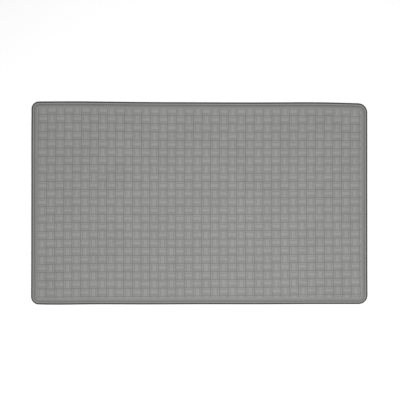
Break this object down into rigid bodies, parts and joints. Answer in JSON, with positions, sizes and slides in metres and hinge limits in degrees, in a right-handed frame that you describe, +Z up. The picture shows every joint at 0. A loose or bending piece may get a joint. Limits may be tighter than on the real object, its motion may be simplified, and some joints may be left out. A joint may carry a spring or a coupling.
{
  "type": "anti fatigue mat",
  "caption": "Rectangular cushioned standing mat with a basketweave relief cover over foam, bevelled sides and a flat welded lip on a non-slip base.",
  "frame": {"origin": "centre of the outline on the underside, where the base sheet meets the floor", "axes": "+X along the mat's length, +Y across its width towards the picture's top edge, +Z up from the floor to the relief"},
  "size_m": [0.762, 0.4572, 0.012],
  "materials": {
    "base_vinyl": "matte",
    "bond_film": "gloss",
    "foam": "matte",
    "backing_cloth": "matte",
    "cover_vinyl": "satin"
  },
  "bodies": {
    "root": {"base_sheet": "base_vinyl", "base_bond_film": "bond_film", "foam_core": "foam", "cover_bond_film": "bond_film", "cover_cloth": "backing_cloth", "cover_skin": "cover_vinyl"}
  },
  "joints": []
}
